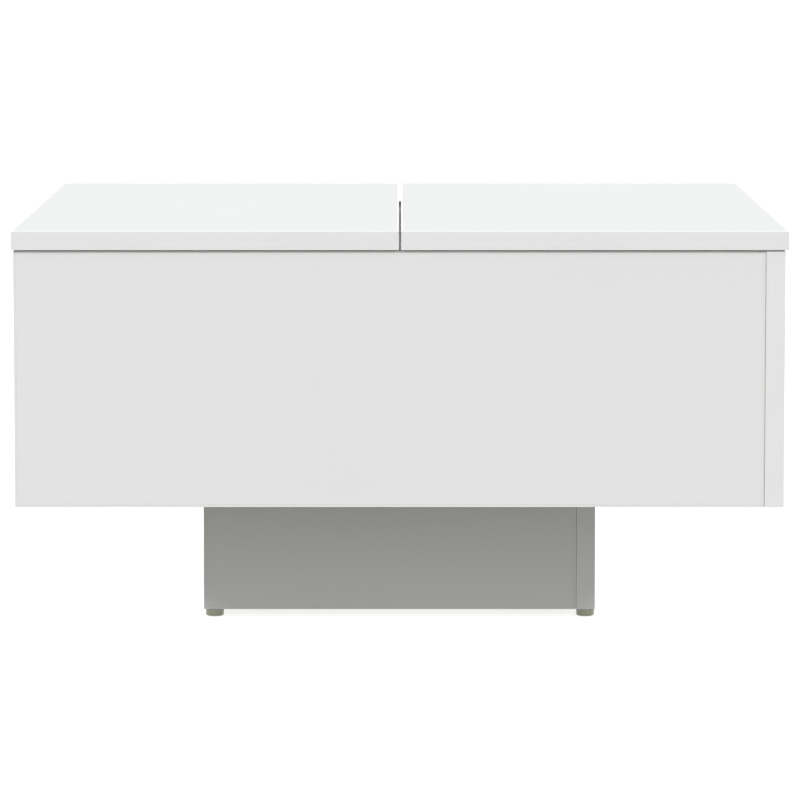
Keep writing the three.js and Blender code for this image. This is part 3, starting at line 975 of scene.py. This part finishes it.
# %% Plinth brackets
BRACKET_SHEET = 2 * MM
BRACKET_SCREW_APART = 12 * MM  # from the bracket's middle
BRACKET_SCREW_OUT = 14 * MM  # from its corner
BRACKET_EDGE = 0.25 * MM


def make_bracket():
    """An angle with its corner at the origin and its legs along +Y and -Z, and its screws' places."""
    low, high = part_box("plinth_bracket_front")
    leg, half_length, sheet = (high - low).y, (high - low).x / 2, BRACKET_SHEET
    outline = [(leg, 0), (leg, -sheet)]
    outline += arc((2 * sheet, -2 * sheet), sheet, 90, 180, 6)
    outline += [(sheet, -leg), (0, -leg)]
    outline += arc((2 * sheet, -2 * sheet), 2 * sheet, 180, 90, 8)
    ring = [Vector((-half_length, across, up)) for across, up in outline]
    bracket = add_profile("bracket_master", ring, (2 * half_length, 0, 0))
    soften(bracket, BRACKET_EDGE, angle=BEND)
    bracket.data.materials.append(NICKEL)
    screws = []
    for along in (-BRACKET_SCREW_APART, BRACKET_SCREW_APART):
        screws.append((Vector((along, BRACKET_SCREW_OUT, -sheet)), Vector((0, 0, -1))))
        screws.append((Vector((along, sheet, -BRACKET_SCREW_OUT)), Vector((0, 1, 0))))
    return shade(bracket, BEND), screws


BRACKET, BRACKET_SCREWS = make_bracket()
for side, turn in TURNS.items():
    node = f"plinth_bracket_{side}"
    low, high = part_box(node)
    middle, inward = middle_of(node), INWARD[side]
    leg = abs((high - low).dot(inward))
    corner = middle - inward * leg / 2
    corner.z = high.z
    finish_piece(copy_of(BRACKET, f"angle_{side}", corner, (0, 0, turn)), "carcass", "steel", node)
    rotation = Matrix.Rotation(turn, 3, "Z")
    for number, (spot, direction) in enumerate(BRACKET_SCREWS, 1):
        where, way = corner + rotation @ spot, rotation @ direction
        screw = copy_of(SMALL_SCREW, f"angle_screw_{number}_{side}", where, facing(way))
        finish_piece(screw, "carcass", "zinc")

# %% [markdown]
# The glides are small moulded feet with a rounded, slightly hollow sole, and the stops are soft clear
# dots pressed into the rim, on which the lids rest. Both are short round bars whose end is worked over.

# %% Glides and stops
SOLE_ROUND = 1.5 * MM
SOLE_RIM = 1.5 * MM
SOLE_HOLLOW = 0.6 * MM
GLIDE_EDGE = 0.2 * MM
GLIDE_TURN = 50  # degrees
STOP_ROUND = 0.4 * MM


def upright_rod(name, node, sides):
    """A round bar that fills an upright node's box."""
    low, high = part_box(node)
    middle, radius = (low + high) / 2, (high.x - low.x) / 2
    return add_rod(name, (middle.x, middle.y, low.z), (middle.x, middle.y, high.z), radius, sides)


def make_glide(node):
    """A foot with a rounded rim and a slightly hollow sole."""
    foot, sole = upright_rod(f"foot_{node}", node, sides=64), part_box(node)[0].z
    round_edges(foot, lambda first, second: max(first.z, second.z) < sole + TOUCH, SOLE_ROUND, 6)
    pick_faces(foot, lambda spot, normal: spot.z < sole + TOUCH)
    bpy.ops.mesh.inset(thickness=SOLE_RIM)
    bpy.ops.mesh.extrude_region_move(TRANSFORM_OT_translate={"value": (0, 0, SOLE_HOLLOW)})
    bpy.ops.object.mode_set(mode="OBJECT")
    soften(foot, GLIDE_EDGE, angle=GLIDE_TURN)
    foot.data.materials.append(GLIDE)
    return finish_piece(shade(foot, BEND), "carcass", "glide_grey", node)


def make_stop(node):
    """A dot with a rounded top."""
    stop, top = upright_rod(f"stop_{node}", node, sides=48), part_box(node)[1].z
    round_edges(stop, lambda first, second: min(first.z, second.z) > top - TOUCH, STOP_ROUND)
    stop.data.materials.append(STOP)
    return finish_piece(shade(stop, BEND), "carcass", "soft_clear", node)


for along in ("front", "back"):
    for half in ("left", "right"):
        make_glide(f"glide_{along}_{half}")
        make_stop(f"bumper_{along}_{half}")

# %% [markdown]
# Each repeated piece was modelled once and copied, each copy with its own mesh. The first ones stand for
# nothing, so they are removed.

# %% Remove the models that were copied
for master in (LARGE_SCREW, SMALL_SCREW, CUP, CUP_PIN_ROD, LINK, ARM, ARM_PIN_ROD, PLATE, CAM, BRACKET):
    bpy.data.objects.remove(master)

# %% [markdown]
# ## Studio
# A pale floor that fades into a pale wall, two soft suns in front, one at each side, and an even sky that
# is brighter above than below. The box shades the plinth, which stands far back under it, so the plinth
# is left with the weaker light from below, which is why it looks grey although it is white. The floor
# and wall are kept out of the bounced light, because the sky's lower half already stands for it.

# %% Pale floor and wall
STAGE_WHITE = (0.93, 0.93, 0.925)
FLOOR_SIZE = 80  # metres, as are the next three
FLOOR_DROP = 0.3 * MM
WALL_RADIUS = 38
WALL_FOOT = -0.01
FLOOR_GLOW = 0.75
WALL_GLOW = 1.08


def stage_finish(name, color, glow):
    """A matt surface with a little glow of its own, which keeps its shadows faint."""
    finish, nodes, links, shader, place = new_finish(name, color, 0.8)
    grain = add_noise(nodes, links, place, scale=40, detail=3)
    links.new(spread(nodes, links, grain, low=0.75, high=0.85), shader.inputs["Roughness"])
    shader.inputs["Specular IOR Level"].default_value = 0.0
    shader.inputs["Emission Color"].default_value = (*color, 1)
    shader.inputs["Emission Strength"].default_value = glow
    return finish


def set_stage(piece, finish):
    """A stage piece is seen by the camera and in reflections, but sends no diffuse light to the table."""
    piece.data.materials.append(finish)
    piece.visible_diffuse = False
    return piece


def make_stage():
    """A wide floor, and the upper half of a sphere for the wall."""
    bpy.ops.object.select_all(action="DESELECT")
    bpy.ops.mesh.primitive_plane_add(size=FLOOR_SIZE, location=(0, 0, -FLOOR_DROP))
    set_stage(settle(named("studio_floor")), stage_finish("pale_floor", STAGE_WHITE, FLOOR_GLOW))
    bpy.ops.object.select_all(action="DESELECT")
    bpy.ops.mesh.primitive_uv_sphere_add(segments=48, ring_count=24, radius=WALL_RADIUS)
    wall = settle(named("studio_wall"))
    bpy.ops.object.mode_set(mode="EDIT")
    bpy.ops.mesh.select_all(action="SELECT")
    bpy.ops.mesh.bisect(plane_co=(0, 0, WALL_FOOT), plane_no=(0, 0, 1), clear_inner=True)
    bpy.ops.object.mode_set(mode="OBJECT")
    set_stage(wall, stage_finish("pale_wall", STAGE_WHITE, WALL_GLOW))
    wall.visible_shadow = False


make_stage()


# %% [markdown]
# Two equal suns light the front evenly, and a wide angle softens their shadows. The sky needs only two
# tones, blended at the horizon.

# %% Lights
SUN_ELEVATION = 29.8  # degrees, as are the next two
SUN_AZIMUTH = 50
SUN_SOFTNESS = 10
SUN_STRENGTH = 1.27
SKY_ABOVE = (0.675, 0.69, 0.69)
SKY_BELOW = (0.305, 0.308, 0.28)
SKY_BLEND = 0.12  # how far above and below the horizon the two tones blend


def soft_sun(name, azimuth):
    """A distant light; azimuth 0 stands it straight in front."""
    bpy.ops.object.select_all(action="DESELECT")
    bpy.ops.object.light_add(type="SUN", location=(0, -3, 3))
    lamp = bpy.context.active_object
    lamp.name = lamp.data.name = name
    lamp.data.energy = SUN_STRENGTH
    lamp.data.angle = math.radians(SUN_SOFTNESS)
    lamp.rotation_euler = (math.radians(90 - SUN_ELEVATION), 0, math.radians(azimuth))
    return lamp


def even_sky(above, below):
    """A sky with one tone above the horizon and another below it, blended softly between."""
    world = bpy.data.worlds.new("even_sky")
    world.use_nodes = True
    nodes, links = world.node_tree.nodes, world.node_tree.links
    direction = nodes.new("ShaderNodeTexCoord")
    split = nodes.new("ShaderNodeSeparateXYZ")
    blend = nodes.new("ShaderNodeMapRange")
    blend.interpolation_type = "SMOOTHSTEP"
    blend.inputs["From Min"].default_value = -SKY_BLEND
    blend.inputs["From Max"].default_value = SKY_BLEND
    mix = nodes.new("ShaderNodeMix")
    mix.data_type = "RGBA"
    mix.inputs["A"].default_value = (*below, 1)
    mix.inputs["B"].default_value = (*above, 1)
    links.new(direction.outputs["Generated"], split.inputs["Vector"])
    links.new(split.outputs["Z"], blend.inputs["Value"])
    links.new(blend.outputs["Result"], mix.inputs["Factor"])
    links.new(mix.outputs["Result"], nodes["Background"].inputs["Color"])
    bpy.context.scene.world = world


soft_sun("front_left_sun", -SUN_AZIMUTH)
soft_sun("front_right_sun", SUN_AZIMUTH)
even_sky(SKY_ABOVE, SKY_BELOW)
bpy.context.scene.view_settings.view_transform = "Standard"

# %% [markdown]
# ## Camera
# A long lens far in front and a little above the top, as for a catalogue picture: it hardly narrows the
# back of the table.

# %% Camera
CAMERA_FROM_FRONT = 3.735  # metres in front of the top's front edge
CAMERA_ABOVE_TOP = 0.268
CAMERA_TILT = 6.096  # degrees below level
CAMERA_LENS = 218.7  # millimetres
CAMERA_SENSOR = 36

top_low, top_high = cad_box
bpy.ops.object.camera_add(
    location=(0, top_low[1] - CAMERA_FROM_FRONT, top_high[2] + CAMERA_ABOVE_TOP),
    rotation=(math.radians(90 - CAMERA_TILT), 0, 0),
)
camera = bpy.context.active_object
camera.data.lens = CAMERA_LENS
camera.data.sensor_width = CAMERA_SENSOR
camera.data.clip_end = 100
bpy.context.scene.camera = camera
